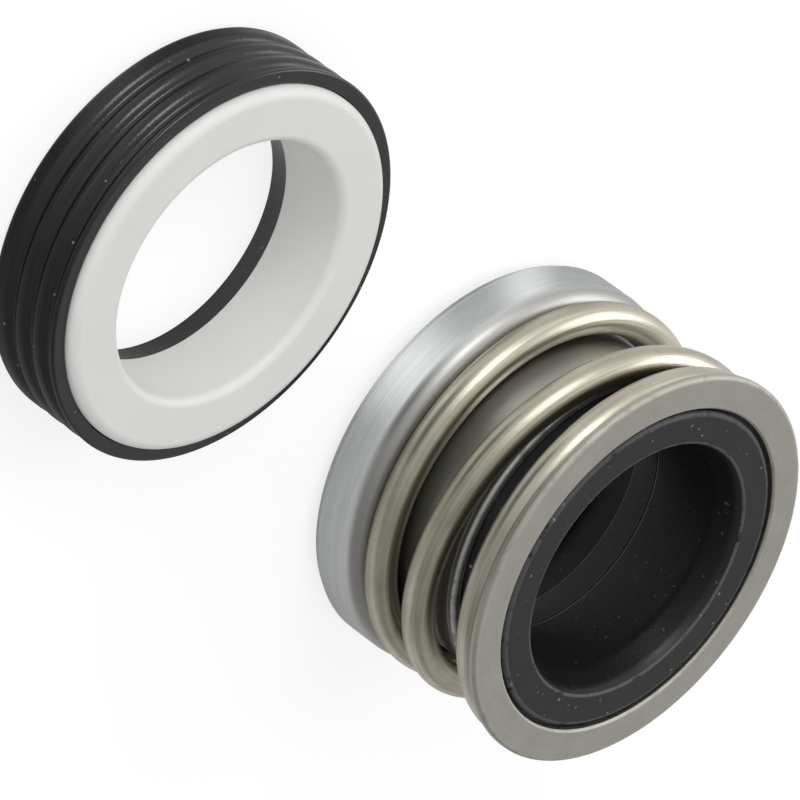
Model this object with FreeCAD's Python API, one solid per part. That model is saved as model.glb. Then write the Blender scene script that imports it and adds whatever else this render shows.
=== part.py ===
import FreeCAD, Part
import math
import os

os.makedirs("parts", exist_ok=True)

# Component mechanical seal for a pump shaft, in millimetres, +Z up.
# Its two halves stand on their ends on the plane z = 0, side by side along Y.
# The stationary seat stands on its rubber back, with the ceramic face up.
# The rotary head stands on its carbon nose, with the spring end up.

# Shaft and the spacing of the halves
shaft_diameter = 19.05
halves_spacing = 46.0

# Clearances
fit_clearance = 0.075
coil_seat_clearance = 0.05
coil_side_clearance = 0.17
coil_turn_clearance = 0.05
holder_bore_clearance = 0.3
carbon_shaft_clearance = 0.6
seat_shaft_clearance = 0.4

# Rubber cup of the stationary seat
cup_height = 6.7
cup_side_wall = 1.05
cup_back_wall = 1.55
cup_back_round = 0.7
cup_lip_round = 0.2
cup_bore_relief = 0.1
groove_count = 3
groove_pitch = 1.8
groove_height = 2.15
groove_mouth = 1.15
groove_floor = 0.35
groove_depth = 0.5
groove_round = 0.28

# Ceramic ring of the stationary seat
ceramic_width = 4.05
ceramic_proud = 0.8
ceramic_edge_round = 0.75
ceramic_bore_chamfer = 0.35
ceramic_back_chamfer = 0.3

# Drawn steel shell of the rotary head
nose_exposure = 0.8
shell_wall = 0.6
shell_height = 4.8
shell_overhang = 0.15
shoulder_round = 1.4
crimp_height = 0.65
crimp_depth = 0.35
neck_root_round = 0.5
neck_rise = 7.4
bead_proud = 0.2
bead_height = 0.9

# Carbon ring
carbon_edge_break = 0.2
nose_step = 0.9
nose_length = 1.3

# Rubber bellows
skirt_wall = 1.25
skirt_lift = 0.9
pad_thickness = 0.75
pad_corner = 0.6
tail_wall = 2.55
tail_grip = 10.4
tail_collar = 2.6
tail_recess = 0.12
tail_face_round = 0.35
tail_mouth_round = 0.9
cavity_wall = 0.95
cavity_slope = 0.9

# Coil spring, wound left-handed, with both ends closed
wire_diameter = 2.38
spring_space = 12.3
active_turns = 1.77
closing_turns = 0.53
rise_start_turn = 0.33
points_per_turn = 8

# Spring holder ring
holder_thickness = 0.6
holder_overhang = 0.375
holder_edge_round = 0.28
holder_bore_chamfer = 0.15

# Radii of the rotary head, from the shaft outwards
shaft_radius = shaft_diameter / 2
tail_radius = shaft_radius + tail_wall
neck_inner_radius = tail_radius + fit_clearance
neck_outer_radius = neck_inner_radius + shell_wall
bead_radius = neck_outer_radius + bead_proud
spring_mean_radius = bead_radius + coil_side_clearance + wire_diameter / 2
spring_outer_radius = spring_mean_radius + wire_diameter / 2
shell_outer_radius = spring_outer_radius + shell_overhang
shell_inner_radius = shell_outer_radius - shell_wall
skirt_outer_radius = shell_inner_radius - fit_clearance
skirt_inner_radius = skirt_outer_radius - skirt_wall
carbon_radius = skirt_inner_radius - fit_clearance
carbon_bore_radius = shaft_radius + carbon_shaft_clearance
cavity_radius = tail_radius - cavity_wall
collar_radius = bead_radius
holder_bore_radius = collar_radius + holder_bore_clearance
holder_outer_radius = spring_outer_radius + holder_overhang

# Heights of the rotary head, from the floor upwards
rim_height = nose_exposure
shoulder_height = rim_height + shell_height
shoulder_underside = shoulder_height - shell_wall
pad_top = shoulder_underside - fit_clearance
carbon_top = pad_top - pad_thickness
neck_top = shoulder_height + neck_rise
holder_underside = shoulder_height + spring_space
holder_top = holder_underside + holder_thickness
tail_top = holder_top - tail_recess
grip_bottom = tail_top - tail_grip
collar_bottom = tail_top - tail_collar

# Radii and heights of the stationary seat, from the shaft outwards
ceramic_bore_radius = shaft_radius + seat_shaft_clearance
ceramic_radius = ceramic_bore_radius + ceramic_width
pocket_radius = ceramic_radius + fit_clearance
seat_outer_radius = pocket_radius + cup_side_wall
cup_bore_radius = ceramic_bore_radius + cup_bore_relief
ceramic_top = cup_height + ceramic_proud

# Places of the two axes, so that the pair is centred on the origin
head_y = (halves_spacing + seat_outer_radius - holder_outer_radius) / 2
seat_y = head_y - halves_spacing


def section_point(radius, height):
    return FreeCAD.Vector(radius, 0, height)


def line_if_long(start, end, edges):
    shortest_line = 1e-6
    if start.distanceToPoint(end) > shortest_line:
        edges.append(Part.makeLine(start, end))


def rounded_section(corners):
    """Closed half section from corners of radius, height and rounding."""
    edges = []
    joints = []
    for index, (radius, height, rounding) in enumerate(corners):
        corner = section_point(radius, height)
        before = section_point(*corners[index - 1][:2])
        after = section_point(*corners[(index + 1) % len(corners)][:2])
        to_before = (before - corner).normalize()
        to_after = (after - corner).normalize()
        half_angle = to_before.getAngle(to_after) / 2
        reach = rounding / math.tan(half_angle)
        entry = corner + to_before * reach
        leaving = corner + to_after * reach
        joints.append((entry, leaving))
        if rounding > 0:
            inwards = (to_before + to_after).normalize()
            middle = corner + inwards * (rounding / math.sin(half_angle) - rounding)
            edges.append(Part.Arc(entry, middle, leaving).toShape())
    for index, (entry, leaving) in enumerate(joints):
        line_if_long(joints[index - 1][1], entry, edges)
    return Part.Wire(Part.__sortEdges__(edges))


def turned(corners, axis_y):
    """Solid of revolution about the vertical axis at axis_y."""
    face = Part.Face(rounded_section(corners))
    solid = face.revolve(FreeCAD.Vector(0, 0, 0), FreeCAD.Vector(0, 0, 1), 360)
    solid.translate(FreeCAD.Vector(0, axis_y, 0))
    return solid


def groove_corners(height):
    """Corners of one groove in the cup's side, from its lower to its upper edge."""
    floor_radius = seat_outer_radius - groove_depth
    return [
        (seat_outer_radius, height - groove_mouth / 2, groove_round),
        (floor_radius, height - groove_floor / 2, 0),
        (floor_radius, height + groove_floor / 2, 0),
        (seat_outer_radius, height + groove_mouth / 2, groove_round),
    ]


def seat_cup():
    """Ribbed rubber cup that presses into the pump housing."""
    corners = [
        (cup_bore_radius, 0, 0),
        (seat_outer_radius, 0, cup_back_round),
    ]
    for index in range(groove_count):
        corners += groove_corners(groove_height + index * groove_pitch)
    corners += [
        (seat_outer_radius, cup_height, cup_lip_round),
        (pocket_radius, cup_height, 0),
        (pocket_radius, cup_back_wall, 0),
        (cup_bore_radius, cup_back_wall, 0),
    ]
    return turned(corners, seat_y)


def ceramic_seat():
    """Ceramic ring with the lapped sealing face on top."""
    corners = [
        (ceramic_bore_radius, cup_back_wall, 0),
        (ceramic_radius - ceramic_back_chamfer, cup_back_wall, 0),
        (ceramic_radius, cup_back_wall + ceramic_back_chamfer, 0),
        (ceramic_radius, ceramic_top, ceramic_edge_round),
        (ceramic_bore_radius + ceramic_bore_chamfer, ceramic_top, 0),
        (ceramic_bore_radius, ceramic_top - ceramic_bore_chamfer, 0),
    ]
    return turned(corners, seat_y)


def carbon_ring():
    """Carbon ring whose nose runs on the ceramic face."""
    nose_radius = carbon_radius - nose_step
    corners = [
        (carbon_bore_radius, carbon_edge_break, 0),
        (carbon_bore_radius + carbon_edge_break, 0, 0),
        (nose_radius - carbon_edge_break, 0, 0),
        (nose_radius, carbon_edge_break, 0),
        (nose_radius, nose_length, 0),
        (carbon_radius, nose_length, 0),
        (carbon_radius, carbon_top, 0),
        (carbon_bore_radius, carbon_top, 0),
    ]
    return turned(corners, head_y)


def retainer_shell():
    """Drawn steel shell: crimped skirt, shoulder, and neck with a beaded rim."""
    bead_bottom = neck_top - bead_height
    rim_edge_round = shell_wall / 2
    corners = [
        (shell_inner_radius - crimp_depth, rim_height, 0),
        (shell_outer_radius - crimp_depth, rim_height, 0),
        (shell_outer_radius, rim_height + crimp_height, 0),
        (shell_outer_radius, shoulder_height, shoulder_round),
        (neck_outer_radius, shoulder_height, neck_root_round),
        (neck_outer_radius, bead_bottom, 0),
        (bead_radius, bead_bottom + bead_proud, 0),
        (bead_radius, neck_top, rim_edge_round),
        (neck_inner_radius, neck_top, rim_edge_round),
        (neck_inner_radius, shoulder_underside, neck_root_round + shell_wall),
        (shell_inner_radius, shoulder_underside, shoulder_round - shell_wall),
        (shell_inner_radius, rim_height + crimp_height, 0),
    ]
    return turned(corners, head_y)


def bellows():
    """Rubber bellows: skirt round the carbon, pad, wide cavity and gripping tail."""
    cavity_top = grip_bottom - cavity_slope
    collar_foot = (neck_top + collar_bottom) / 2
    collar_waist = (tail_radius + collar_radius) / 2
    corners = [
        (skirt_inner_radius, rim_height + skirt_lift, 0),
        (skirt_outer_radius, rim_height + skirt_lift, 0),
        (skirt_outer_radius, pad_top - pad_corner, 0),
        (skirt_outer_radius - pad_corner, pad_top, 0),
        (tail_radius, pad_top, 0),
        (tail_radius, collar_foot, 0),
        (collar_waist, collar_bottom, 0),
        (collar_radius, collar_bottom, 0),
        (collar_radius, tail_top, tail_face_round),
        (shaft_radius, tail_top, tail_mouth_round),
        (shaft_radius, grip_bottom, 0),
        (cavity_radius, cavity_top, 0),
        (cavity_radius, carbon_top, 0),
        (skirt_inner_radius, carbon_top, 0),
    ]
    return turned(corners, head_y)


def spring_rise():
    """Height from the first flat turn to the last one, wire centre to wire centre."""
    return spring_space - 2 * coil_seat_clearance - wire_diameter


def wire_climb(turn):
    """Climb of the wire centre at a turn counted from where the wire starts to rise."""
    climb_rate = spring_rise() / (active_turns - closing_turns)
    if turn <= 0:
        return 0.0
    if turn >= active_turns:
        return spring_rise()
    if turn < closing_turns:
        return climb_rate * turn ** 2 / (2 * closing_turns)
    if turn > active_turns - closing_turns:
        return spring_rise() - climb_rate * (active_turns - turn) ** 2 / (2 * closing_turns)
    return climb_rate * (turn - closing_turns / 2)


def flat_end_turns():
    """Length of each flat end, which stops a turn before the wire above comes too near."""
    climb_rate = spring_rise() / (active_turns - closing_turns)
    needed = wire_diameter + coil_turn_clearance
    if needed >= climb_rate * closing_turns / 2:
        return 1 - needed / climb_rate - closing_turns / 2
    return 1 - math.sqrt(2 * closing_turns * needed / climb_rate)


def coil_spring():
    """Round wire swept along a left-handed coil with a flat part of a turn at each end."""
    first_turn = -flat_end_turns()
    last_turn = active_turns + flat_end_turns()
    steps = math.ceil((last_turn - first_turn) * points_per_turn)
    base_height = shoulder_height + coil_seat_clearance + wire_diameter / 2
    points = []
    for step in range(steps + 1):
        turn = first_turn + (last_turn - first_turn) * step / steps
        angle = -2 * math.pi * (turn + rise_start_turn)
        points.append(FreeCAD.Vector(
            spring_mean_radius * math.cos(angle),
            spring_mean_radius * math.sin(angle),
            base_height + wire_climb(turn),
        ))
    path = Part.BSplineCurve()
    path.interpolate(points)
    start = path.value(path.FirstParameter)
    direction = path.tangent(path.FirstParameter)[0]
    wire_end = Part.Wire(Part.makeCircle(wire_diameter / 2, start, direction))
    solid = Part.Wire(path.toShape()).makePipeShell([wire_end], True, True)
    solid.translate(FreeCAD.Vector(0, head_y, 0))
    return solid


def spring_holder():
    """Flat steel ring that the spring pushes against the impeller."""
    corners = [
        (holder_bore_radius, holder_underside, 0),
        (holder_outer_radius, holder_underside, 0),
        (holder_outer_radius, holder_top, holder_edge_round),
        (holder_bore_radius + holder_bore_chamfer, holder_top, 0),
        (holder_bore_radius, holder_top - holder_bore_chamfer, 0),
    ]
    return turned(corners, head_y)


pieces = {
    "seat_cup": seat_cup,
    "ceramic_seat": ceramic_seat,
    "carbon_ring": carbon_ring,
    "retainer_shell": retainer_shell,
    "bellows": bellows,
    "coil_spring": coil_spring,
    "spring_holder": spring_holder,
}

for name, make_piece in pieces.items():
    shape = make_piece()
    print(name, shape.ShapeType, "valid", shape.isValid(), "volume", round(shape.Volume, 1))
    shape.exportStep("parts/" + name + ".step")
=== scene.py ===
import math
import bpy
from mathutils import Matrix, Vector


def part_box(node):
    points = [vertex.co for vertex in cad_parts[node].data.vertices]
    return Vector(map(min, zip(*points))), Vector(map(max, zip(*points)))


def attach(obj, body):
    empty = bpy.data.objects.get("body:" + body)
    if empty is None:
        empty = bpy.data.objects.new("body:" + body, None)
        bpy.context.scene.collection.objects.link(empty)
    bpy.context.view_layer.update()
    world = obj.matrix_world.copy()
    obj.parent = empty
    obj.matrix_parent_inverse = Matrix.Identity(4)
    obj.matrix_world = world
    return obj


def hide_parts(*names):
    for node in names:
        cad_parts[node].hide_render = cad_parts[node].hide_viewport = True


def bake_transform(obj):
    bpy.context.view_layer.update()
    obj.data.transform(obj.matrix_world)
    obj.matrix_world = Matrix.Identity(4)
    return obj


bl_info = {
    "name": "Component Mechanical Seal",
    "version": (1, 0, 0),
    "blender": (4, 5, 0),
    "location": "View3D > Sidebar > Seal",
    "description": "Dresses the packed frame of a pump shaft seal with finished pieces",
    "category": "Object",
}

import bmesh
import bpy
from bpy.props import FloatProperty, FloatVectorProperty, IntProperty, PointerProperty
from mathutils import Matrix, Vector

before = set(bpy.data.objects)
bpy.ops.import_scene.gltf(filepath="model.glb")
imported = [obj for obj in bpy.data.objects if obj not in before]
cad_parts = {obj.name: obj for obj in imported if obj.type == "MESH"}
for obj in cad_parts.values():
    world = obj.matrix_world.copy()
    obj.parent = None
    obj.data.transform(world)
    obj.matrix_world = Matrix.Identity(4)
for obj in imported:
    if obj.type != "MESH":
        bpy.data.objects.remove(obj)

# Fineness of the turned rings and of the wire
RING_SEGMENTS = 288
ARC_STEP = math.radians(14)
WIRE_SIDES = 40
WIRE_STEPS_PER_TURN = 176

# Distances used while making meshes, in metres
EASED_EDGE = 0.00005
FLAT_SUPPORT = 0.00006
SHARP_ROUND = 0.0003
SHORTEST_RUN = 1e-6
MERGE_DISTANCE = 1e-6

# Rubber inside a radius is cleaner and smoother, and steel above a height is painted darker as
# shade, and rougher
CLEAN_FADE = 0.0003
CLEAN_SHARE = 0.25
CLEAN_ROUGHNESS = 0.34
TOP_SHADE_FADE = 0.0009

# How much lighter than its own colour a surface is where it is rubbed, which also paints a
# highlight on edges, or where its grain shows
SCUFF_AND_HIGHLIGHT_LIGHTNESS = 3.5
RUBBED_AND_HIGHLIGHT_LIGHTNESS = 1.35
GRAIN_LIGHTNESS = 1.7

# Bands of the floor in which its white changes in reflections, in metres
LIT_BAND = (-0.03, 0.0)
DIM_BAND = (0.0, 0.014)
SHADED_BAND = (-0.006, 0.004)

# Pools of light that reflections show beside a piece: middle and reach, in degrees round its axis
SHELL_POOLS = ((-9, 26), (-59, 18))
CUP_POOLS = ((-21, 24), (-100, 50))
SECOND_POOL = 0.8
CONTACT_SHADE = 0.7
CONTACT_REACH = 0.0035
POOL_INNER_BAND = (-0.002, -0.001)
POOL_OUTER_BAND = (0.005, 0.009)


def number(name, description, default, **settings):
    return FloatProperty(name=name, description=description, default=default, **settings)


def length(name, description, default):
    return number(name, description, default, precision=6, unit="LENGTH", subtype="DISTANCE")


def share(name, description, default):
    return number(name, description, default, min=0.0, max=1.0, subtype="FACTOR")


def colour(name, description, default):
    return FloatVectorProperty(name=name, description=description, default=default,
                               size=3, min=0.0, max=1.0, subtype="COLOR")


class SealSeatSizes(bpy.types.PropertyGroup):
    """Sizes of the stationary seat that its boxes don't give."""

    back_wall: length("Back wall", "Rubber under the ceramic", 0.00155)
    back_round: length("Back round", "Rounding of the cup's outer back edge", 0.0007)
    lip_round: length("Lip round", "Rounding of the cup's front lip", 0.0002)
    groove_count: IntProperty(name="Grooves", description="Grooves round the cup", default=3, min=1)
    groove_height: length("First groove", "Height of the middle of the first groove", 0.00215)
    groove_pitch: length("Groove pitch", "Height from one groove to the next", 0.0018)
    groove_mouth: length("Groove mouth", "Width of a groove at the surface", 0.00115)
    groove_floor: length("Groove floor", "Width of a groove at its floor", 0.00035)
    groove_depth: length("Groove depth", "Depth of a groove", 0.0005)
    crest_round: length("Crest round", "Rounding of the edges between the grooves", 0.0006)
    last_crest_round: length("Last crest round", "Rounding beside the lip", 0.00032)
    floor_round: length("Floor round", "Rounding at a groove's floor", 0.0003)
    bore_relief: length("Bore relief", "How much wider the cup's bore is", 0.0001)
    pocket_clearance: length("Pocket clearance", "Space round the ceramic in its pocket", 0.000075)
    ceramic_width: length("Ceramic width", "Width of the ceramic ring from bore to side", 0.00405)
    ceramic_edge_round: length("Ceramic edge round", "Rounding of the outer front edge", 0.00075)
    ceramic_bore_round: length("Ceramic bore round", "Easing of the bore at the face", 0.0006)
    ceramic_back_chamfer: length("Ceramic back chamfer", "Chamfer of the outer back edge", 0.0003)


class SealHeadSizes(bpy.types.PropertyGroup):
    """Sizes of the rotary head that its boxes don't give."""

    shaft_radius: length("Shaft radius", "Radius of the shaft that the bellows grips", 0.009525)
    clearance: length("Clearance", "Space between fitted pieces", 0.000075)
    shell_wall: length("Shell wall", "Thickness of the drawn steel", 0.0006)
    shell_height: length("Shell height", "Height of the shell from its rim to its shoulder", 0.0048)
    shoulder_round: length("Shoulder round", "Rounding between side and shoulder", 0.0014)
    crimp_height: length("Crimp height", "Height of the rim that is turned in", 0.00065)
    crimp_depth: length("Crimp depth", "How far the rim is turned in", 0.00035)
    crimp_round: length("Crimp round", "Rounding where the rim turns in", 0.00032)
    neck_root_round: length("Neck root round", "Rounding between shoulder and neck", 0.0005)
    bead_proud: length("Bead proud", "How far the neck's bead stands out", 0.0002)
    bead_height: length("Bead height", "Height of the neck's bead", 0.0009)
    carbon_clearance: length("Carbon clearance", "Space between shaft and carbon", 0.0006)
    nose_step: length("Nose step", "Step from the carbon's side to its nose", 0.0009)
    nose_length: length("Nose length", "Height of the carbon's nose", 0.0013)
    carbon_edge: length("Carbon edge", "Broken edge of the carbon's nose", 0.0002)
    skirt_wall: length("Skirt wall", "Rubber round the carbon", 0.00125)
    pad_corner: length("Pad corner", "Chamfer of the skirt's upper corner", 0.0006)
    tail_wall: length("Tail wall", "Rubber between the shaft and the neck", 0.00255)
    tail_grip: length("Tail grip", "Length of bore that grips the shaft", 0.0104)
    collar_height: length("Collar height", "Height of the collar under the spring holder", 0.0026)
    face_round: length("Face round", "Rounding of the collar's outer edge", 0.00035)
    mouth_width: length("Mouth width", "How much wider than the bore its lip is", 0.00088)
    mouth_step: length("Mouth step", "Depth of the steep part of the mouth", 0.0006)
    mouth_depth: length("Mouth depth", "Depth at which the bore has its full grip", 0.0024)
    mouth_ease: length("Mouth ease", "Easing between the mouth and the bore", 0.0019)
    lip_edge: length("Lip edge", "Rounding of the lip", 0.0002)
    ledge_reach: length("Ledge reach", "How far the ledge under the holder stands out", 0.0005)
    ledge_gap: length("Ledge gap", "Space between the ledge and the holder", 0.0001)
    ledge_height: length("Ledge height", "Height of the ledge's side", 0.0002)
    ledge_foot: length("Ledge foot", "Height of the slope under the ledge", 0.00035)
    cavity_wall: length("Cavity wall", "Rubber beside the wide part of the bore", 0.00095)
    cavity_slope: length("Cavity slope", "Height of the cone above the cavity", 0.0009)
    squeezed_height: length("Squeezed height", "Height that shortens with the spring", 0.007)
    parting_depth: length("Parting depth", "Depth of the mould line in the bore", 0.0082)
    parting_rise: length("Parting rise", "How far the mould line stands out", 0.00004)


class SealSpringSizes(bpy.types.PropertyGroup):
    """Sizes of the spring and of its holder."""

    wire: length("Wire", "Diameter of the wire", 0.00238)
    active_turns: number("Active turns", "Turns that rise", 1.77)
    closing_turns: number("Closing turns", "Turns that ease in and out", 0.53)
    start_turn: number("Start turn", "Where the wire starts to rise", 0.33)
    turn_clearance: length("Turn clearance", "Space between a flat end and the wire above", 0.00005)
    cut_edge: share("Cut edge", "How much the wire's cut ends are eased", 0.14)
    holder_bore_clearance: length("Holder clearance", "Space between collar and holder", 0.0003)
    holder_edge_round: length("Holder edge round", "Rounding of the holder's outer edge", 0.00028)
    holder_bore_chamfer: length("Holder chamfer", "Chamfer of the holder's bore", 0.00015)


class SealColours(bpy.types.PropertyGroup):
    """Colours of the finishes."""

    cup: colour("Cup rubber", "Black rubber of the seat's cup", (0.0018, 0.0018, 0.0023))
    cup_worn: colour("Worn cup rubber", "Rubber where it is rubbed", (0.008, 0.0086, 0.0115))
    bellows: colour("Bellows rubber", "Charcoal rubber of the bellows", (0.0090, 0.0088, 0.0100))
    # Colour of the bloom; lightened on the edges it is also a painted highlight on the bellows
    bellows_bloom_and_highlight: colour("Worn bellows rubber", "Rubber with a bloom", (0.024, 0.024, 0.025))
    dust: colour("Dust", "Crumbs and lint on the rubber", (0.50, 0.50, 0.49))
    ceramic: colour("Ceramic", "White alumina", (0.715, 0.725, 0.70))
    ceramic_stain: colour("Ceramic shade", "Faint cloud in the alumina", (0.66, 0.67, 0.64))
    shell: colour("Shell steel", "Drawn stainless steel", (0.86, 0.90, 0.905))
    # Colour of the shell's marks, and also painted shade on its shoulder and neck
    shell_marks_and_shade: colour("Dull shell steel", "Steel where it was stretched", (0.44, 0.435, 0.415))
    spring: colour("Spring steel", "Wire with a straw tint", (0.72, 0.685, 0.575))
    spring_dull: colour("Dull spring steel", "Drawing marks along the wire", (0.25, 0.225, 0.17))
    holder: colour("Holder steel", "Pressed steel ring", (0.465, 0.455, 0.405))
    holder_dull: colour("Dull holder steel", "Stains on the pressed ring", (0.36, 0.35, 0.31))
    carbon: colour("Carbon", "Lapped carbon", (0.060, 0.060, 0.063))


class SealStage(bpy.types.PropertyGroup):
    """Camera, lamps and floor."""

    lens: number("Lens", "Focal length in millimetres", 360.0)
    elevation: number("Elevation", "Camera's angle above the floor", math.radians(34.789),
                      subtype="ANGLE")
    roll: number("Roll", "Camera's turn about its line of sight", math.radians(126.217),
                 subtype="ANGLE")
    distance: length("Distance", "Camera's distance from the middle of the view", 0.55868)
    middle: FloatVectorProperty(name="Middle", description="Point in the middle of the view",
                                default=(0.000231, -0.000626, 0.0090), subtype="TRANSLATION")
    key_power: number("Key", "Power of the key lamp", 1.05, unit="POWER")
    front_power: number("Front", "Power of the front lamp", 0.85, unit="POWER")
    rim_power: number("Rim", "Power of the rim lamp", 0.13, unit="POWER")
    ambient: share("Ambient", "Light from the room", 0.63)
    floor_lit: share("Lit floor", "White of the floor in reflections beside the lamps", 0.7)
    floor_dim: share("Dim floor", "White of the floor in reflections away from the lamps", 0.55)
    floor_shaded: share("Shaded floor", "White of the floor in reflections beside the pieces", 0.15)
    bright_side: share("Bright side", "White of the room in reflections beside the lamps", 1.0)
    dim_side: share("Dim side", "White of the room in reflections away from the lamps", 0.3)


def piece_box(node):
    """Axis, outer radius, lowest and highest level of a turned node."""
    low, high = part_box(node)
    axis = Vector(((low.x + high.x) / 2, (low.y + high.y) / 2, 0))
    return axis, (high.x - low.x) / 2, low.z, high.z


# Section of a turned piece


def turn_sign(before, corner, after):
    """Positive where the outline turns left at the corner."""
    entering = corner - before
    leaving = after - corner
    return entering.x * leaving.y - entering.y * leaving.x


def outline_area(corners):
    points = [Vector(corner[:2]) for corner in corners]
    return sum(a.x * b.y - a.y * b.x for a, b in zip(points, points[1:] + points[:1])) / 2


def corner_arc(before, corner, after, rounding):
    """Points of the arc that rounds one corner."""
    to_before = (before - corner).normalized()
    to_after = (after - corner).normalized()
    half_angle = to_before.angle(to_after) / 2
    reach = rounding / math.tan(half_angle)
    inwards = (to_before + to_after).normalized()
    centre = corner + inwards * (rounding / math.sin(half_angle))
    start = corner + to_before * reach - centre
    swept = math.pi - 2 * half_angle
    steps = max(3, math.ceil(swept / ARC_STEP))
    side = 1 if turn_sign(before, corner, after) > 0 else -1
    points = []
    for step in range(steps + 1):
        angle = side * swept * step / steps
        turned = Vector((start.x * math.cos(angle) - start.y * math.sin(angle),
                         start.x * math.sin(angle) + start.y * math.cos(angle)))
        points.append(centre + turned)
    return points


def section_outline(corners):
    """Points of a closed section with their edge value: 1 outside corners, -1 inside ones."""
    outwards = 1 if outline_area(corners) > 0 else -1
    arcs = []
    for index, (radius, height, rounding) in enumerate(corners):
        corner = Vector((radius, height))
        before = Vector(corners[index - 1][:2])
        after = Vector(corners[(index + 1) % len(corners)][:2])
        side = 1 if turn_sign(before, corner, after) * outwards > 0 else -1
        sharpness = min(1.0, SHARP_ROUND / max(rounding, EASED_EDGE))
        arc = corner_arc(before, corner, after, max(rounding, EASED_EDGE))
        arcs.append((arc, side * sharpness))
    outline = []
    for index, (arc, side) in enumerate(arcs):
        outline += [(point, side) for point in arc]
        start = arc[-1]
        end = arcs[(index + 1) % len(arcs)][0][0]
        run = (end - start).length
        if run < SHORTEST_RUN:
            outline.pop()
        elif run > 3 * FLAT_SUPPORT:
            along = (end - start) / run
            outline.append((start + along * FLAT_SUPPORT, 0))
            outline.append((end - along * FLAT_SUPPORT, 0))
    return outline


def section_mesh(name, corners):
    """Closed line of the section in the XZ plane, with its edge values."""
    outline = section_outline(corners)
    count = len(outline)
    mesh = bpy.data.meshes.new(name)
    mesh.from_pydata([(point.x, 0, point.y) for point, side in outline],
                     [(index, (index + 1) % count) for index in range(count)], [])
    edge = mesh.attributes.new("edge", "FLOAT", "POINT")
    edge.data.foreach_set("value", [float(side) for point, side in outline])
    return mesh


# Node trees


class Value:
    """Output of a node, with which sums can be written."""

    def __init__(self, sheet, socket):
        self.sheet = sheet
        self.socket = socket

    def __add__(self, other):
        return self.sheet.calc("ADD", self, other)

    def __sub__(self, other):
        return self.sheet.calc("SUBTRACT", self, other)

    def __rsub__(self, other):
        return self.sheet.calc("SUBTRACT", other, self)

    def __mul__(self, other):
        return self.sheet.calc("MULTIPLY", self, other)

    def __truediv__(self, other):
        return self.sheet.calc("DIVIDE", self, other)

    def __rtruediv__(self, other):
        return self.sheet.calc("DIVIDE", other, self)


class Sheet:
    """Places and links nodes in one tree."""

    def __init__(self, tree):
        self.tree = tree
        self.placed = 0

    def node(self, kind, inputs=None, **settings):
        node = self.tree.nodes.new(kind)
        node.location = (self.placed % 12 * 190, -(self.placed // 12) * 260)
        self.placed += 1
        for name, value in settings.items():
            setattr(node, name, value)
        for name, value in (inputs or {}).items():
            self.feed(node.inputs[name], value)
        return node

    def result(self, kind, inputs=None, output=0, **settings):
        return Value(self, self.node(kind, inputs, **settings).outputs[output])

    def feed(self, socket, value):
        if isinstance(value, Value):
            self.tree.links.new(value.socket, socket)
        else:
            socket.default_value = value

    def calc(self, operation, first, second=0.0):
        return self.result("ShaderNodeMath", {0: first, 1: second}, operation=operation)

    def vector(self, operation, first, second=(0, 0, 0)):
        return self.result("ShaderNodeVectorMath", {0: first, 1: second}, operation=operation)

    def joined(self, x, y, z):
        return self.result("ShaderNodeCombineXYZ", {"X": x, "Y": y, "Z": z})

    def split(self, vector):
        node = self.node("ShaderNodeSeparateXYZ", {0: vector})
        return [Value(self, output) for output in node.outputs]

    def from_axis(self, x, y):
        """Distance from the upright axis."""
        return self.calc("SQRT", x * x + y * y)

    def ranged(self, value, low, high, to_low=0.0, to_high=1.0, **settings):
        return self.result("ShaderNodeMapRange", {
            "Value": value, "From Min": low, "From Max": high,
            "To Min": to_low, "To Max": to_high}, **settings)

    def between(self, factor, low, high):
        """Number between two, by a factor from 0 to 1."""
        return self.ranged(factor, 0.0, 1.0, low, high)

    def mixed(self, factor, first, second):
        """Colour between two, by a factor from 0 to 1."""
        return self.result("ShaderNodeMix", {0: factor, 6: first, 7: second}, 2, data_type="RGBA")

    def marks(self, inputs, **settings):
        """Noise spread over the whole range from 0 to 1."""
        return self.ranged(self.result("ShaderNodeTexNoise", inputs, **settings), 0.3, 0.7)

    def stored(self, geometry, name, value, kind):
        return self.result("GeometryNodeStoreNamedAttribute", {
            "Geometry": geometry, "Name": name, "Value": value}, data_type=kind, domain="POINT")

    def sampled(self, geometry, value, index, kind):
        return self.result("GeometryNodeSampleIndex", {
            "Geometry": geometry, "Value": value, "Index": index}, data_type=kind)

    def placed_at(self, geometry, place, axis):
        return self.result("GeometryNodeSetPosition", {
            "Geometry": geometry, "Position": self.vector("ADD", place, axis)})

    def finished(self, geometry, material):
        """Ends a geometry tree: smooth, real and with its material."""
        smooth = self.result("GeometryNodeSetShadeSmooth", {0: geometry})
        real = self.result("GeometryNodeRealizeInstances", {0: smooth})
        return self.result("GeometryNodeSetMaterial", {"Geometry": real, "Material": material})


def empty_sheet(owner):
    """Sheet of a material's or a world's own tree."""
    owner.use_nodes = True
    owner.node_tree.nodes.clear()
    return Sheet(owner.node_tree)


# Kinds of the node groups' inputs that aren't plain numbers
SOCKET_KINDS = {
    "Vector": "Vector", "Around": "Vector", "Axis place": "Vector", "Segments": "Int",
    "Steps": "Int", "Sides": "Int", "Section": "Geometry", "Geometry": "Geometry",
    "Material": "Material",
}


def node_group(name, family, *inputs):
    """Turns a function that fills a tree into one that gives the tree, made once."""
    def give_group(fill):
        def group():
            return bpy.data.node_groups.get(name) or new_group(name, family, inputs, fill)
        return group
    return give_group


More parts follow.
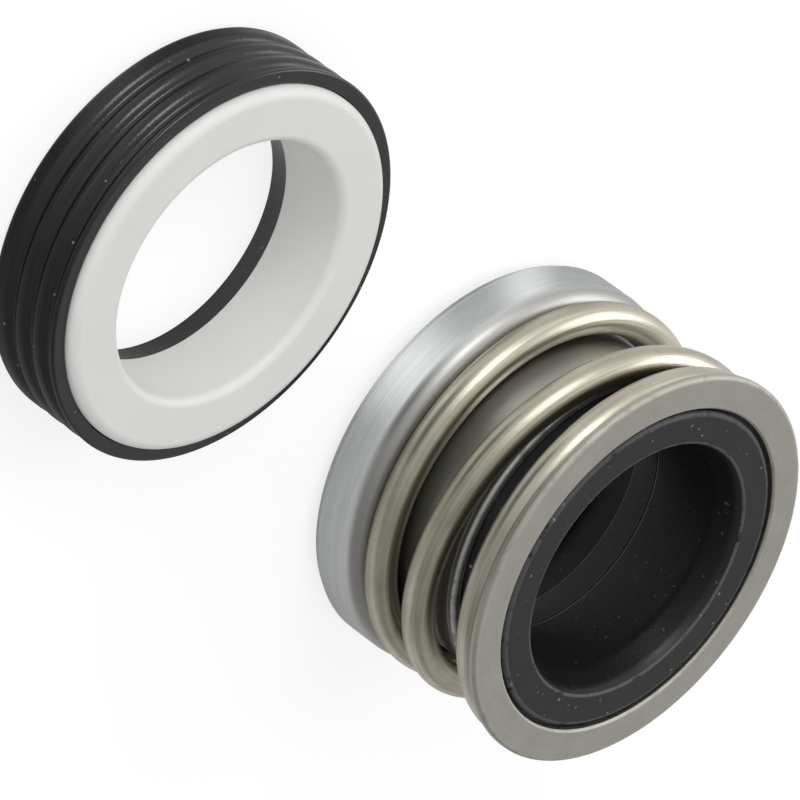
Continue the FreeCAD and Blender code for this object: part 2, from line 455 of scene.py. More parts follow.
def new_group(name, family, inputs, fill):
    """Tree whose one output bears the last word of its name."""
    tree = bpy.data.node_groups.new(name, family + "NodeTree")
    sockets = [(label, "INPUT", SOCKET_KINDS.get(label, "Float")) for label in inputs]
    sockets.append((name.split()[-1].capitalize(), "OUTPUT",
                    "Geometry" if family == "Geometry" else "Float"))
    for label, direction, kind in sockets:
        tree.interface.new_socket(label, in_out=direction, socket_type="NodeSocket" + kind)
    sheet = Sheet(tree)
    source = sheet.node("NodeGroupInput")
    made = fill(sheet, {label: Value(sheet, source.outputs[label]) for label in inputs})
    sheet.node("NodeGroupOutput", {0: made})
    return tree


@node_group("Turned ring", "Geometry", "Section", "Segments", "Axis place", "Material")
def turned_ring_group(sheet, given):
    """Turns a closed section about the upright axis."""
    section, segments = given["Section"], given["Segments"]
    count = sheet.result("GeometryNodeAttributeDomainSize", {"Geometry": section}, "Point Count")
    grid = sheet.result("GeometryNodeMeshGrid", {
        "Size X": segments, "Size Y": count,
        "Vertices X": segments + 1, "Vertices Y": count + 1}, "Mesh")
    place = sheet.result("GeometryNodeInputPosition")
    x, y = sheet.split(place)[:2]
    column = sheet.calc("ROUND", x + segments / 2)
    row = sheet.calc("ROUND", y + count / 2)
    index = sheet.calc("FLOORED_MODULO", row, count)
    edge = sheet.result("GeometryNodeInputNamedAttribute", {"Name": "edge"}, "Attribute",
                        data_type="FLOAT")
    edge_here = sheet.sampled(section, edge, index, "FLOAT")
    marked = sheet.stored(grid, "edge", edge_here, "FLOAT")
    turned = sheet.result("ShaderNodeVectorRotate", {
        "Vector": sheet.sampled(section, place, index, "FLOAT_VECTOR"),
        "Angle": column / segments * math.tau}, rotation_type="Z_AXIS")
    ring = sheet.placed_at(marked, turned, given["Axis place"])
    closed = sheet.result("GeometryNodeMergeByDistance", {
        "Geometry": ring, "Distance": MERGE_DISTANCE})
    return sheet.finished(closed, given["Material"])


@node_group("Coil spring", "Geometry", "Geometry", "Mean radius", "Wire radius", "Base height",
            "Rise", "Active turns", "Closing turns", "Flat turns", "Start turn", "Cut edge",
            "Steps", "Sides", "Axis place", "Material")
def coil_spring_group(sheet, given):
    """Sweeps round wire along a left-handed coil whose ends close."""
    active, closing, flat = given["Active turns"], given["Closing turns"], given["Flat turns"]
    steps, mean_radius = given["Steps"], given["Mean radius"]
    line = sheet.result("GeometryNodeMeshLine", {"Count": steps + 1})
    index = sheet.result("GeometryNodeInputIndex")
    turned = index / steps * (active + flat * 2)
    turn = turned - flat
    rate = given["Rise"] / (active - closing)
    height = given["Base height"] + rate * climbed_turns(sheet, turn, active, closing)
    angle = (turn + given["Start turn"]) * -math.tau
    spot = sheet.joined(mean_radius * sheet.calc("COSINE", angle),
                        mean_radius * sheet.calc("SINE", angle), height)
    path = sheet.result("GeometryNodeMeshToCurve", {
        "Mesh": sheet.placed_at(line, spot, given["Axis place"])})
    upright = sheet.result("GeometryNodeSetCurveNormal", {0: path}, mode="Z_UP")
    from_end = sheet.calc("MINIMUM", index, steps - index)
    eased = (1.0 - sheet.calc("MINIMUM", from_end, 1.0)) * given["Cut edge"]
    thick = sheet.result("GeometryNodeSetCurveRadius", {0: upright, "Radius": 1.0 - eased})
    marked = sheet.stored(thick, "along", turned * (mean_radius * math.tau), "FLOAT")
    circle = sheet.result("GeometryNodeCurvePrimitiveCircle", {
        "Resolution": given["Sides"], "Radius": given["Wire radius"]}, mode="RADIUS")
    around = sheet.vector("NORMALIZE", sheet.result("GeometryNodeInputPosition"))
    wire = sheet.node("GeometryNodeCurveToMesh", {
        "Curve": marked, "Fill Caps": True,
        "Profile Curve": sheet.stored(circle, "around", around, "FLOAT_VECTOR")})
    if "Scale" in wire.inputs:
        sheet.feed(wire.inputs["Scale"], sheet.result("GeometryNodeInputRadius"))
    return sheet.finished(Value(sheet, wire.outputs[0]), given["Material"])


def climbed_turns(sheet, turn, active, closing):
    """Turns climbed: rate grows over the closing turns, holds, and falls again."""
    def held(turns, most):
        return sheet.calc("MINIMUM", sheet.calc("MAXIMUM", turns, 0), most)

    doubled = closing * 2
    opening = held(turn, closing)
    steady = held(turn - closing, active - doubled)
    shutting = held(active - turn, closing)
    ended = closing / 2 - shutting * shutting / doubled
    return opening * opening / doubled + steady + ended


def new_object(name, data):
    obj = bpy.data.objects.new(name, data)
    bpy.context.scene.collection.objects.link(obj)
    return obj


def run_tree(name, mesh, tree, values):
    """Object whose mesh is the tree's result, with nothing live left on it."""
    obj = new_object(name, mesh)
    modifier = obj.modifiers.new(tree.name, "NODES")
    modifier.node_group = tree
    for item in tree.interface.items_tree:
        if item.item_type == "SOCKET" and item.in_out == "INPUT" and item.name in values:
            modifier[item.identifier] = values[item.name]
    bpy.context.view_layer.update()
    depsgraph = bpy.context.evaluated_depsgraph_get()
    result = bpy.data.meshes.new_from_object(
        obj.evaluated_get(depsgraph), preserve_all_data_layers=True, depsgraph=depsgraph)
    obj.modifiers.clear()
    obj.data = result
    bpy.data.meshes.remove(mesh)
    if not result.polygons:
        raise RuntimeError(name + " has no faces")
    face_outwards(result)
    result.name = name
    return obj


def face_outwards(mesh):
    """Turns the faces round where the closed mesh is inside out."""
    work = bmesh.new()
    work.from_mesh(mesh)
    if work.calc_volume(signed=True) < 0:
        bmesh.ops.reverse_faces(work, faces=work.faces)
    work.to_mesh(mesh)
    work.free()


def turned_piece(name, corners, axis, material):
    """Finished ring from the corners of its section."""
    return run_tree(name, section_mesh(name + "_section", corners), turned_ring_group(), {
        "Segments": RING_SEGMENTS, "Axis place": axis, "Material": material})


@node_group("Cloud", "Shader", "Vector", "Size")
def cloud_group(sheet, given):
    """Soft uneven cloud of one size."""
    return sheet.marks({"Vector": given["Vector"], "Scale": 1.0 / given["Size"], "Detail": 4.0,
                        "Roughness": 0.55})


@node_group("Turned streaks", "Shader", "Vector", "Line width", "Line length")
def turned_streaks_group(sheet, given):
    """Fine marks that run round the axis, from a vector measured from the axis."""
    x, y, z = sheet.split(given["Vector"])
    width, run = given["Line width"], given["Line length"]
    spot = sheet.joined(sheet.from_axis(x, y) / width, z / width, x / run)
    return sheet.marks({"Vector": spot, "W": y / run, "Scale": 1.0, "Detail": 3.0,
                        "Roughness": 0.6}, noise_dimensions="4D")


@node_group("Wire streaks", "Shader", "Around", "Along", "Lines", "Line length")
def wire_streaks_group(sheet, given):
    """Drawing marks along a wire, from its own around and along values."""
    x, y = sheet.split(given["Around"])[:2]
    spot = sheet.joined(x * given["Lines"], y * given["Lines"],
                        given["Along"] / given["Line length"])
    return sheet.marks({"Vector": spot, "Scale": 1.0, "Detail": 3.0, "Roughness": 0.6})


@node_group("Specks", "Shader", "Vector", "Spacing", "Speck size", "Held")
def specks_group(sheet, given):
    """Scattered crumbs: a share of the cells holds one, of the given size."""
    vector, spacing = given["Vector"], given["Spacing"]
    scale = 1.0 / spacing
    ragged = sheet.result("ShaderNodeTexNoise", {"Vector": vector, "Scale": scale * 5.0}, "Color")
    centred = sheet.vector("SUBTRACT", ragged, (0.5, 0.5, 0.5))
    shift = sheet.result("ShaderNodeVectorMath", {0: centred, "Scale": spacing * 0.35},
                         operation="SCALE")
    cells = sheet.node("ShaderNodeTexVoronoi", {
        "Vector": sheet.vector("ADD", vector, shift), "Scale": scale})
    chance, amount = sheet.split(Value(sheet, cells.outputs["Color"]))[:2]
    held = sheet.calc("LESS_THAN", chance, given["Held"])
    size = given["Speck size"] * (amount + 0.4)
    return sheet.ranged(Value(sheet, cells.outputs["Distance"]), size, size * 0.5) * held


@node_group("Edge wear", "Shader", "Vector", "Edge", "Size", "Worn")
def edge_wear_and_highlight_group(sheet, given):
    """Broken wear on outer edges, from the piece's own edge value; where it lightens a colour, it
    also stands for a painted highlight.
    """
    noise = sheet.result("ShaderNodeTexNoise", {
        "Vector": given["Vector"], "Scale": 1.0 / given["Size"], "Detail": 3.0})
    level = 0.75 - given["Worn"] * 0.5
    return sheet.ranged(noise, level, level + 0.12) * sheet.ranged(given["Edge"], 0.3, 1.0)


# Finishes


class Finish:
    """One material: its sheet, its shader, and the coordinates of its piece."""

    def __init__(self, name, axis):
        self.material = bpy.data.materials.new(name)
        self.sheet = empty_sheet(self.material)
        self.shader = self.sheet.node("ShaderNodeBsdfPrincipled")
        self.sheet.node("ShaderNodeOutputMaterial", {0: Value(self.sheet, self.shader.outputs[0])})
        whole = self.sheet.result("ShaderNodeTexCoord", output="Object")
        self.spot = self.sheet.result("ShaderNodeMapping", {
            "Vector": whole, "Location": (-axis.x, -axis.y, 0)})

    def feed(self, name, value):
        self.sheet.feed(self.shader.inputs[name], value)

    def group(self, group, **values):
        """Value of a node group, which is given the piece's coordinates where it asks for them."""
        node = self.sheet.node("ShaderNodeGroup", node_tree=group())
        if "Vector" in node.inputs:
            values["Vector"] = self.spot
        for name, value in values.items():
            self.sheet.feed(node.inputs[name.replace("_", " ")], value)
        return Value(self.sheet, node.outputs[0])

    def own(self, name, output="Fac"):
        """The piece's own value of a name."""
        return self.sheet.result("ShaderNodeAttribute", output=output, attribute_name=name)

    def bump(self, height, distance):
        self.feed("Normal", self.sheet.result("ShaderNodeBump", {
            "Height": height, "Distance": distance, "Strength": 1.0}))


def rgba(value, factor=1.0):
    """Colour with its alpha, lightened by a factor."""
    return (*(min(1.0, level * factor) for level in value), 1.0)


def rubber(name, axis, base, worn, dust, roughness, crumbs, scuffs_and_highlight, inside, shine):
    """Moulded rubber with a bloom, rubbed edges lightened also as a painted highlight, and crumbs,
    clean and smooth inside a radius.
    """
    finish = Finish(name, axis)
    sheet = finish.sheet
    bloom = finish.group(cloud_group, Size=0.004)
    grain = finish.group(cloud_group, Size=0.00022)
    wear = finish.group(edge_wear_and_highlight_group, Edge=finish.own("edge"), Size=0.0009, Worn=0.85)
    specks = finish.group(specks_group, Spacing=0.0009, Speck_size=0.12, Held=crumbs)
    lint = finish.group(specks_group, Spacing=0.0031, Speck_size=0.05, Held=crumbs)
    x, y = sheet.split(finish.spot)[:2]
    dusty = sheet.ranged(sheet.from_axis(x, y), inside - CLEAN_FADE, inside)
    aged = sheet.mixed((bloom * 0.45 + grain * 0.25) * dusty, rgba(base), rgba(worn))
    # Rubbed edges, lightened also as a painted highlight on the edges and round the bore's lip
    rubbed = sheet.mixed(wear * scuffs_and_highlight, aged, rgba(worn, SCUFF_AND_HIGHLIGHT_LIGHTNESS))
    marks = sheet.calc("MAXIMUM", specks, lint) * sheet.between(dusty, CLEAN_SHARE, 1.0)
    finish.feed("Base Color", sheet.mixed(marks * 0.4, rubbed, rgba(dust)))
    rough = sheet.between(bloom * 0.6 + grain * 0.4, *roughness)
    finish.feed("Roughness", sheet.between(dusty, CLEAN_ROUGHNESS, rough) + marks * 0.3)
    finish.feed("Specular IOR Level", shine)
    finish.bump(grain + marks * 4.0, 0.000005)
    return finish.material


def ceramic(name, axis, base, shade):
    """White alumina: lapped smooth on its face, with a faint cloud and fine turned marks."""
    finish = Finish(name, axis)
    sheet = finish.sheet
    cloud = finish.group(cloud_group, Size=0.005)
    grain = finish.group(cloud_group, Size=0.0003)
    lapping = finish.group(turned_streaks_group, Line_width=0.0002, Line_length=0.006)
    pits = finish.group(specks_group, Spacing=0.0026, Speck_size=0.03, Held=0.25)
    clouded = sheet.mixed(cloud * 0.45, rgba(base), rgba(shade))
    finish.feed("Base Color", sheet.mixed(pits * 0.35, clouded, rgba(shade)))
    finish.feed("Roughness", sheet.ranged(cloud + lapping, 0.0, 2.0, 0.46, 0.58))
    finish.feed("IOR", 1.6)
    finish.bump(grain * 0.6 + lapping, 0.000004)
    return finish.material


def turned_steel(name, axis, base, dull, roughness, stain_size, stained, shaded_above=1.0):
    """Bright steel with marks round the axis, stains and rubbed edges with a painted highlight, and
    painted shade above a height, where it is also rougher.
    """
    finish = Finish(name, axis)
    sheet = finish.sheet
    streaks = finish.group(turned_streaks_group, Line_width=0.00016, Line_length=0.007)
    stain = finish.group(cloud_group, Size=stain_size)
    grain = finish.group(cloud_group, Size=0.0002)
    edge = finish.own("edge")
    wear = finish.group(edge_wear_and_highlight_group, Edge=edge, Size=0.0012, Worn=0.8)
    # Painted shade: above the given height the steel turns to its darker colour and grows rougher
    drawn = sheet.ranged(sheet.split(finish.spot)[2], shaded_above - TOP_SHADE_FADE, shaded_above)
    marked = streaks * 0.28 + stain * stained
    marked_and_shaded = sheet.mixed(sheet.calc("MAXIMUM", marked, drawn), rgba(base), rgba(dull))
    # Rubbed edges, lighter also as a painted highlight
    finish.feed("Base Color", sheet.mixed(wear * 0.4, marked_and_shaded, rgba(base, RUBBED_AND_HIGHLIGHT_LIGHTNESS)))
    even = sheet.between(streaks * 0.4 + (stain * 0.4 + grain * 0.2), *roughness)
    stretched = sheet.calc("MAXIMUM", edge, 0.0) * 0.25
    finish.feed("Roughness", even + stretched + drawn * 0.16)
    finish.feed("Metallic", 1.0)
    finish.bump(streaks + grain * 0.1, 0.000004)
    return finish.material


def spring_wire(name, axis, base, dull):
    """Drawn spring wire with long marks along it."""
    finish = Finish(name, axis)
    sheet = finish.sheet
    around = finish.own("around", "Vector")
    along = finish.own("along")
    fine = finish.group(wire_streaks_group, Around=around, Along=along, Lines=11.0,
                        Line_length=0.009)
    broad = finish.group(wire_streaks_group, Around=around, Along=along, Lines=3.0,
                         Line_length=0.022)
    stain = finish.group(cloud_group, Size=0.004)
    marked = fine * 0.3 + (broad * 0.35 + stain * 0.25)
    finish.feed("Base Color", sheet.mixed(marked, rgba(base), rgba(dull)))
    finish.feed("Roughness", sheet.ranged(fine + stain, 0.0, 2.0, 0.26, 0.42))
    finish.feed("Metallic", 1.0)
    finish.bump(fine + broad, 0.000006)
    return finish.material


def carbon_material(name, axis, base):
    """Resin-filled carbon, lapped on its nose."""
    finish = Finish(name, axis)
    sheet = finish.sheet
    grain = finish.group(cloud_group, Size=0.00025)
    lapping = finish.group(turned_streaks_group, Line_width=0.00015, Line_length=0.005)
    finish.feed("Base Color", sheet.mixed(grain * 0.5, rgba(base), rgba(base, GRAIN_LIGHTNESS)))
    finish.feed("Roughness", sheet.ranged(grain + lapping, 0.0, 2.0, 0.28, 0.45))
    finish.bump(lapping, 0.000004)
    return finish.material


# Operators, one for each piece


def settle_ring(node, corners, material, body):
    """Puts a finished ring in its node's place on its body."""
    obj = turned_piece(node + "_finished", corners, piece_box(node)[0], material)
    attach(obj, body)
    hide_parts(node)


def settle_between(obj, node):
    """Puts a finished piece in its node's place."""
    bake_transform(obj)
    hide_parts(node)


def collar_radius(head):
    """Outer radius of the bellows' collar, which stands as far out as the neck's bead."""
    return head.shaft_radius + head.tail_wall + head.clearance + head.shell_wall + head.bead_proud


class SEAL_OT_cup(bpy.types.Operator):
    """Make the ribbed rubber cup of the stationary seat"""

    bl_idname = "seal.cup"
    bl_label = "Seat Cup"

    def execute(self, context):
        sizes = context.scene.seal_seat
        paint = context.scene.seal_colours
        axis, radius, low, high = piece_box("seat_cup")
        ceramic_radius = piece_box("ceramic_seat")[1]
        pocket = ceramic_radius + sizes.pocket_clearance
        bore = ceramic_radius - sizes.ceramic_width + sizes.bore_relief
        floor = radius - sizes.groove_depth
        corners = [(bore, low, 0), (radius, low, sizes.back_round)]
        for index in range(sizes.groove_count):
            middle = low + sizes.groove_height + index * sizes.groove_pitch
            last = index == sizes.groove_count - 1
            corners += [
                (radius, middle - sizes.groove_mouth / 2, sizes.crest_round),
                (floor, middle - sizes.groove_floor / 2, sizes.floor_round),
                (floor, middle + sizes.groove_floor / 2, sizes.floor_round),
                (radius, middle + sizes.groove_mouth / 2,
                 sizes.last_crest_round if last else sizes.crest_round),
            ]
        corners += [
            (radius, high, sizes.lip_round),
            (pocket, high, 0),
            (pocket, low + sizes.back_wall, 0),
            (bore, low + sizes.back_wall, 0),
        ]
        material = rubber("Cup rubber", axis, paint.cup, paint.cup_worn, paint.dust,
                          (0.20, 0.29), crumbs=0.35, scuffs_and_highlight=0.0, inside=0.0, shine=0.55)
        settle_ring("seat_cup", corners, material, "stationary_seat")
        return {"FINISHED"}


class SEAL_OT_ceramic(bpy.types.Operator):
    """Make the white ceramic ring with its lapped face"""

    bl_idname = "seal.ceramic"
    bl_label = "Ceramic Seat"

    def execute(self, context):
        sizes = context.scene.seal_seat
        paint = context.scene.seal_colours
        axis, radius, low, high = piece_box("ceramic_seat")
        bore = radius - sizes.ceramic_width
        back = sizes.ceramic_back_chamfer
        corners = [
            (bore, low, 0),
            (radius - back, low, 0),
            (radius, low + back, 0),
            (radius, high, sizes.ceramic_edge_round),
            (bore, high, sizes.ceramic_bore_round),
        ]
        material = ceramic("White ceramic", axis, paint.ceramic, paint.ceramic_stain)
        settle_ring("ceramic_seat", corners, material, "stationary_seat")
        return {"FINISHED"}


class SEAL_OT_shell(bpy.types.Operator):
    """Make the drawn steel shell with its crimped rim and beaded neck"""

    bl_idname = "seal.shell"
    bl_label = "Retainer Shell"

    def execute(self, context):
        sizes = context.scene.seal_head
        paint = context.scene.seal_colours
        axis, radius, rim, top = piece_box("retainer_shell")
        wall = sizes.shell_wall
        inner = radius - wall
        shoulder = rim + sizes.shell_height
        underside = shoulder - wall
        neck_inner = sizes.shaft_radius + sizes.tail_wall + sizes.clearance
        neck_outer = neck_inner + wall
        bead = neck_outer + sizes.bead_proud
        bead_bottom = top - sizes.bead_height
        slight = 0.0002
        corners = [
            (inner - sizes.crimp_depth, rim, wall * 0.2),
            (radius - sizes.crimp_depth, rim, wall * 0.3),
            (radius, rim + sizes.crimp_height, sizes.crimp_round),
            (radius, shoulder, sizes.shoulder_round),
            (neck_outer, shoulder, sizes.neck_root_round),
            (neck_outer, bead_bottom, slight),
            (bead, bead_bottom + sizes.bead_proud, slight),
            (bead, top, wall / 2),
            (neck_inner, top, wall / 2),
            (neck_inner, underside, sizes.neck_root_round + wall),
            (inner, underside, sizes.shoulder_round - wall),
            (inner, rim + sizes.crimp_height, slight),
        ]
        # From high on the shoulder up over the neck, the shell gets painted shade and a rougher
        # finish
        material = turned_steel("Retainer steel", axis, paint.shell, paint.shell_marks_and_shade, (0.17, 0.27),
                                stain_size=0.006, stained=0.15,
                                shaded_above=shoulder - sizes.shoulder_round * 0.6)
        settle_ring("retainer_shell", corners, material, "rotary_head")
        return {"FINISHED"}


class SEAL_OT_carbon(bpy.types.Operator):
    """Make the carbon ring with its running nose"""

    bl_idname = "seal.carbon"
    bl_label = "Carbon Ring"

    def execute(self, context):
        sizes = context.scene.seal_head
        axis, radius, low, high = piece_box("carbon_ring")
        bore = sizes.shaft_radius + sizes.carbon_clearance
        nose = radius - sizes.nose_step
        broken = sizes.carbon_edge
        corners = [
            (bore, low + broken, 0),
            (bore + broken, low, 0),
            (nose - broken, low, 0),
            (nose, low + broken, 0),
            (nose, low + sizes.nose_length, 0),
            (radius, low + sizes.nose_length, 0),
            (radius, high, 0),
            (bore, high, 0),
        ]
        material = carbon_material("Carbon", axis, context.scene.seal_colours.carbon)
        settle_ring("carbon_ring", corners, material, "rotary_head")
        return {"FINISHED"}


class SEAL_OT_bellows(bpy.types.Operator):
    """Make the rubber bellows that grips the shaft"""

    bl_idname = "seal.bellows"
    bl_label = "Bellows"

    def execute(self, context):
        sizes = context.scene.seal_head
        paint = context.scene.seal_colours
        axis, skirt, low, top = piece_box("bellows")
        carbon_top = piece_box("carbon_ring")[3]
        rim, neck_top = piece_box("retainer_shell")[2:]
        pad_top = rim + sizes.shell_height - sizes.shell_wall - sizes.clearance
        tail = sizes.shaft_radius + sizes.tail_wall
        collar = collar_radius(sizes)
        collar_bottom = top - sizes.collar_height
        grip_bottom = top - sizes.tail_grip
        cavity = tail - sizes.cavity_wall
        bore = sizes.shaft_radius
        lip = bore + sizes.mouth_width
        ledge = collar + sizes.ledge_reach
        ledge_top = piece_box("spring_holder")[2] - sizes.ledge_gap
        ledge_bottom = ledge_top - sizes.ledge_height
        parting = top - sizes.parting_depth
        raised = sizes.parting_rise
        soft, slight, faint = 0.0003, 0.0001, 0.00002
        mouth_step_width = sizes.mouth_width * 0.62
        corners = [
            (skirt - sizes.skirt_wall, low, 0),
            (skirt, low, 0),
            (skirt, pad_top - sizes.pad_corner, 0),
            (skirt - sizes.pad_corner, pad_top, 0),
            (tail, pad_top, 0),
            (tail, (neck_top + collar_bottom) / 2, soft),
            ((tail + collar) / 2, collar_bottom, slight),
            (collar, collar_bottom, slight),
            (collar, ledge_bottom - sizes.ledge_foot, 0),
            (ledge, ledge_bottom, 0),
            (ledge, ledge_top, 0),
            (collar, ledge_top, 0),
            (collar, top, sizes.face_round),
            (lip, top, sizes.lip_edge),
            (bore + mouth_step_width, top - sizes.mouth_step, sizes.mouth_ease),
            (bore, top - sizes.mouth_depth, sizes.mouth_ease),
            (bore, parting + raised * 3, 0),
            (bore + raised, parting, faint),
            (bore, parting - raised * 3, 0),
            (bore, grip_bottom, slight),
            (cavity, grip_bottom - sizes.cavity_slope, soft),
            (cavity, carbon_top, 0),
            (skirt - sizes.skirt_wall, carbon_top, 0),
        ]
        # The bellows' rubbed edges and the lip round its bore carry a painted highlight
        material = rubber("Bellows rubber", axis, paint.bellows, paint.bellows_bloom_and_highlight, paint.dust,
                          (0.50, 0.64), crumbs=1.0, scuffs_and_highlight=0.85, inside=lip, shine=0.35)
        obj = turned_piece("bellows_finished", corners, axis, material)
        settle_between(obj, "bellows")
        return {"FINISHED"}


class SEAL_OT_spring(bpy.types.Operator):
    """Make the left-handed coil spring with closed ends"""

    bl_idname = "seal.spring"
    bl_label = "Coil Spring"

    def execute(self, context):
        sizes = context.scene.seal_spring
        paint = context.scene.seal_colours
        low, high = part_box("coil_spring")
        axis = piece_box("spring_holder")[0]
        wire_radius = sizes.wire / 2
        mean_radius = high.x - wire_radius
        rise = high.z - low.z - sizes.wire
        rate = rise / (sizes.active_turns - sizes.closing_turns)
        needed = sizes.wire + sizes.turn_clearance
        flat = 1 - math.sqrt(2 * sizes.closing_turns * needed / rate)
        if needed >= rate * sizes.closing_turns / 2:
            flat = 1 - needed / rate - sizes.closing_turns / 2
        turns = sizes.active_turns + 2 * flat
        material = spring_wire("Spring steel", axis, paint.spring, paint.spring_dull)
        obj = run_tree("coil_spring_finished", bpy.data.meshes.new("spring_seed"),
                       coil_spring_group(), {
                           "Mean radius": mean_radius, "Wire radius": wire_radius,
                           "Base height": low.z + wire_radius, "Rise": rise,
                           "Active turns": sizes.active_turns,
                           "Closing turns": sizes.closing_turns, "Flat turns": flat,
                           "Start turn": sizes.start_turn, "Cut edge": sizes.cut_edge,
                           "Steps": math.ceil(turns * WIRE_STEPS_PER_TURN),
                           "Sides": WIRE_SIDES, "Axis place": axis, "Material": material})
        settle_between(obj, "coil_spring")
        return {"FINISHED"}


class SEAL_OT_holder(bpy.types.Operator):
    """Make the flat ring that the spring pushes against the impeller"""

    bl_idname = "seal.holder"
    bl_label = "Spring Holder"

    def execute(self, context):
        sizes = context.scene.seal_spring
        paint = context.scene.seal_colours
        axis, radius, low, high = piece_box("spring_holder")
        bore = collar_radius(context.scene.seal_head) + sizes.holder_bore_clearance
        chamfer = sizes.holder_bore_chamfer
        corners = [
            (bore, low, 0),
            (radius, low, 0),
            (radius, high, sizes.holder_edge_round),
            (bore + chamfer, high, 0),
            (bore, high - chamfer, 0),
        ]
        material = turned_steel("Holder steel", axis, paint.holder, paint.holder_dull,
                                (0.34, 0.5), stain_size=0.0025, stained=0.4)
        settle_ring("spring_holder", corners, material, "spring_end")
        return {"FINISHED"}


# Stage


def seen_directly(sheet):
    """1 where the camera, a reflection or glass sees the surface, 0 for its light."""
    glass, direct, mirrored = [sheet.result("ShaderNodeLightPath", output=kind) for kind in (
        "Is Transmission Ray", "Is Camera Ray", "Is Glossy Ray")]
    return sheet.calc("MAXIMUM", sheet.calc("MAXIMUM", direct, mirrored), glass)


def white_unless_mirrored(sheet, mirrored_white):
    """1 for the camera and through glass, and the given white in a reflection."""
    return sheet.between(sheet.result("ShaderNodeLightPath", output="Is Glossy Ray"), 1.0,
                         mirrored_white)


def reflected_floor(sheet, lit, dim, shaded):
    """How white a reflection shows each place of the floor."""
    whole = sheet.result("ShaderNodeTexCoord", output="Object")
    across, along = sheet.split(whole)[:2]
    dimmest = sheet.ranged(along, *SHADED_BAND, shaded, dim)
    room = sheet.calc("MINIMUM", sheet.ranged(across, *LIT_BAND, lit, 1.0),
                      sheet.ranged(across, *DIM_BAND, 1.0, dimmest))
    lit_head = pools_beside(sheet, whole, room, "retainer_shell", SHELL_POOLS, shaded * 2)
    return pools_beside(sheet, whole, lit_head, "seat_cup", CUP_POOLS, shaded)


def pools_beside(sheet, whole, elsewhere, node, pools, low):
    """Two pools of light on the floor close round a turned node, and the given white elsewhere."""
    axis, radius = piece_box(node)[:2]
    x, y = sheet.split(sheet.vector("SUBTRACT", whole, axis))[:2]
    turn = sheet.calc("ARCTAN2", x, y * -1.0)
    distance = sheet.from_axis(x, y)
    first, second = [sheet.ranged(sheet.calc("ABSOLUTE", turn - math.radians(middle)),
                                  math.radians(reach), 0.0, interpolation_type="SMOOTHSTEP")
                     for middle, reach in pools]
    patches = sheet.between(sheet.calc("MAXIMUM", first, second * SECOND_POOL), low, 1.0)
    contact = sheet.ranged(distance, radius, radius + CONTACT_REACH, CONTACT_SHADE, 1.0)
    inner, outer = [[radius + edge for edge in band] for band in (POOL_INNER_BAND, POOL_OUTER_BAND)]
    beside = sheet.ranged(distance, *outer, 1.0, 0.0) * sheet.ranged(distance, *inner)
    return patches * contact * beside + elsewhere * (1.0 - beside)


def make_floor(lit, dim, shaded):
    """Plain pale floor that keeps the shadow and shows white."""
    half_size = 3.0
    shadow_share = 0.3  # white that the lamps give and shadows take
    clean_white = 0.06  # keeps the open floor from turning grey
    mesh = bpy.data.meshes.new("floor")
    corners = ((-1, -1), (1, -1), (1, 1), (-1, 1))
    mesh.from_pydata([(x * half_size, y * half_size, 0) for x, y in corners], [], [(0, 1, 2, 3)])
    floor = new_object("floor", mesh)
    material = bpy.data.materials.new("Floor")
    sheet = empty_sheet(material)
    plain = sheet.result("ShaderNodeBsdfDiffuse", {"Color": (0.8, 0.8, 0.8, 1)})
    shadowed = sheet.result("ShaderNodeBsdfDiffuse", {"Color": (shadow_share,) * 3 + (1,)})
    shown_white = white_unless_mirrored(sheet, reflected_floor(sheet, lit, dim, shaded))
    glow = sheet.result("ShaderNodeEmission", {
        "Color": (1, 1, 1, 1), "Strength": shown_white * (1 - shadow_share + clean_white)})
    white = sheet.result("ShaderNodeAddShader", {0: shadowed, 1: glow})
    shown = sheet.result("ShaderNodeMixShader", {0: seen_directly(sheet), 1: plain, 2: white})
    sheet.node("ShaderNodeOutputMaterial", {0: shown})
    mesh.materials.append(material)


def make_world(ambient, bright, dim):
    """White room, brighter in reflections on the side that the lamps stand on."""
    world = bpy.data.worlds.new("Room")
    bpy.context.scene.world = world
    sheet = empty_sheet(world)
    across = sheet.split(sheet.result("ShaderNodeTexCoord", output="Generated"))[0]
    sides = (-0.8, 0.8)
    shown = white_unless_mirrored(sheet, sheet.ranged(across, *sides, bright, dim))
    background = sheet.result("ShaderNodeBackground", {
        "Color": (1, 1, 1, 1), "Strength": sheet.between(seen_directly(sheet), ambient, shown)})
    sheet.node("ShaderNodeOutputWorld", {0: background})


def make_lamp(name, direction, distance, size, power, reflects=True):
    """Soft square lamp that faces the middle of the pair."""
    middle = Vector((0, 0, 0.008))
    light = bpy.data.lights.new(name, "AREA")
    light.shape = "SQUARE"
    light.size = size
    light.energy = power
    lamp = new_object(name, light)
    lamp.visible_glossy = reflects
    lamp.location = middle + Vector(direction).normalized() * distance
    lamp.rotation_euler = (middle - lamp.location).to_track_quat("-Z", "Y").to_euler()


def make_camera(stage):
    """Camera that looks along the fitted direction, rolled as the pair lies in the frame."""
    rise, turn = stage.elevation, stage.roll
    forwards = Vector((0, math.cos(rise), -math.sin(rise)))
    upwards = Vector((0, math.sin(rise), math.cos(rise)))
    sideways = Vector((1, 0, 0))
    across = upwards * math.sin(turn) + sideways * math.cos(turn)
    up = upwards * math.cos(turn) - sideways * math.sin(turn)
    camera = new_object("camera", bpy.data.cameras.new("camera"))
    camera.data.sensor_width = 36
    camera.data.lens = stage.lens
    camera.data.clip_start = 0.01
    camera.data.clip_end = 20
    camera.matrix_world = Matrix.Translation(
        Vector(stage.middle) - forwards * stage.distance) @ Matrix(
            (across, up, -forwards)).transposed().to_4x4()
    bpy.context.scene.camera = camera


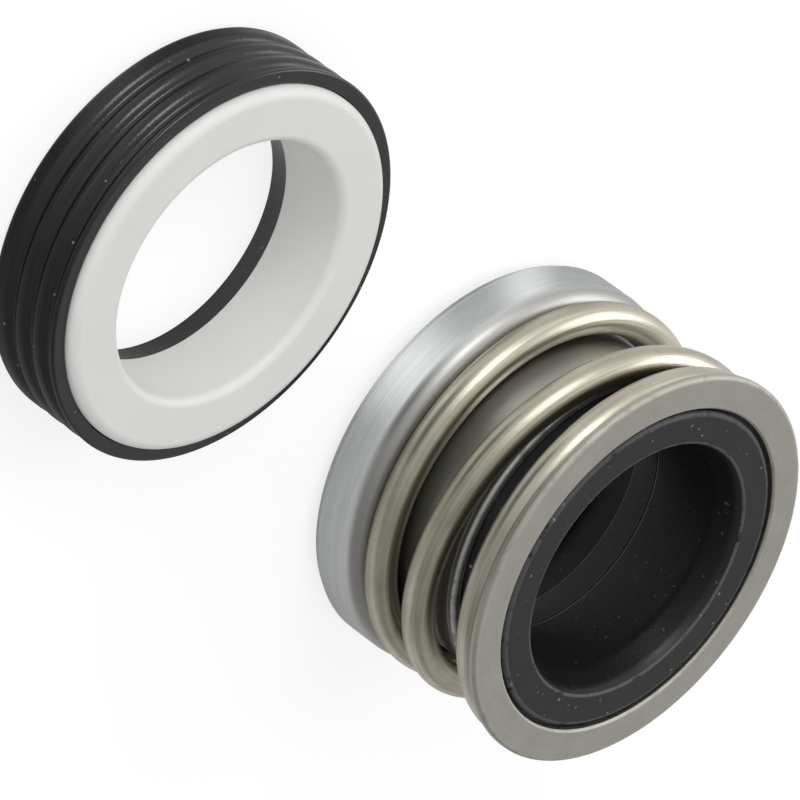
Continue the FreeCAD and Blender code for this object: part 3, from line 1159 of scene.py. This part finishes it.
class SEAL_OT_stage(bpy.types.Operator):
    """Make the floor, the room, the lamps and the camera"""

    bl_idname = "seal.stage"
    bl_label = "Stage"

    def execute(self, context):
        stage = context.scene.seal_stage
        context.scene.view_settings.view_transform = "Standard"
        make_floor(stage.floor_lit, stage.floor_dim, stage.floor_shaded)
        make_world(stage.ambient, stage.bright_side, stage.dim_side)
        make_lamp("key_lamp", (-0.7, -0.8, 0.52), 0.6, 0.26, stage.key_power)
        make_lamp("front_lamp", (0.05, -1.0, 0.45), 0.6, 0.55, stage.front_power,
                  reflects=False)
        make_lamp("rim_lamp", (-0.75, 0.5, 0.6), 0.25, 0.12, stage.rim_power)
        make_camera(stage)
        return {"FINISHED"}


class SEAL_PT_panel(bpy.types.Panel):
    """Lists the operators and their settings"""

    bl_label = "Mechanical Seal"
    bl_idname = "SEAL_PT_panel"
    bl_space_type = "VIEW_3D"
    bl_region_type = "UI"
    bl_category = "Seal"

    def draw(self, context):
        for operator in OPERATORS:
            self.layout.operator(operator.bl_idname)
        for holder in HOLDERS:
            settings = getattr(context.scene, holder)
            column = self.layout.column()
            for name in settings.bl_rna.properties.keys():
                if name not in ("rna_type", "name"):
                    column.prop(settings, name)


OPERATORS = (SEAL_OT_cup, SEAL_OT_ceramic, SEAL_OT_shell, SEAL_OT_carbon, SEAL_OT_bellows,
             SEAL_OT_spring, SEAL_OT_holder, SEAL_OT_stage)
HOLDERS = {
    "seal_seat": SealSeatSizes,
    "seal_head": SealHeadSizes,
    "seal_spring": SealSpringSizes,
    "seal_colours": SealColours,
    "seal_stage": SealStage,
}


def register():
    for group in HOLDERS.values():
        bpy.utils.register_class(group)
    for holder, group in HOLDERS.items():
        setattr(bpy.types.Scene, holder, PointerProperty(type=group))
    for operator in OPERATORS:
        bpy.utils.register_class(operator)
    bpy.utils.register_class(SEAL_PT_panel)


def unregister():
    bpy.utils.unregister_class(SEAL_PT_panel)
    for operator in reversed(OPERATORS):
        bpy.utils.unregister_class(operator)
    for holder, group in HOLDERS.items():
        delattr(bpy.types.Scene, holder)
        bpy.utils.unregister_class(group)


def main():
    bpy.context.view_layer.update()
    register()
    bpy.ops.seal.cup()
    bpy.ops.seal.ceramic()
    bpy.ops.seal.shell()
    bpy.ops.seal.carbon()
    bpy.ops.seal.bellows()
    bpy.ops.seal.spring()
    bpy.ops.seal.holder()
    bpy.ops.seal.stage()


if __name__ == "__main__":
    main()
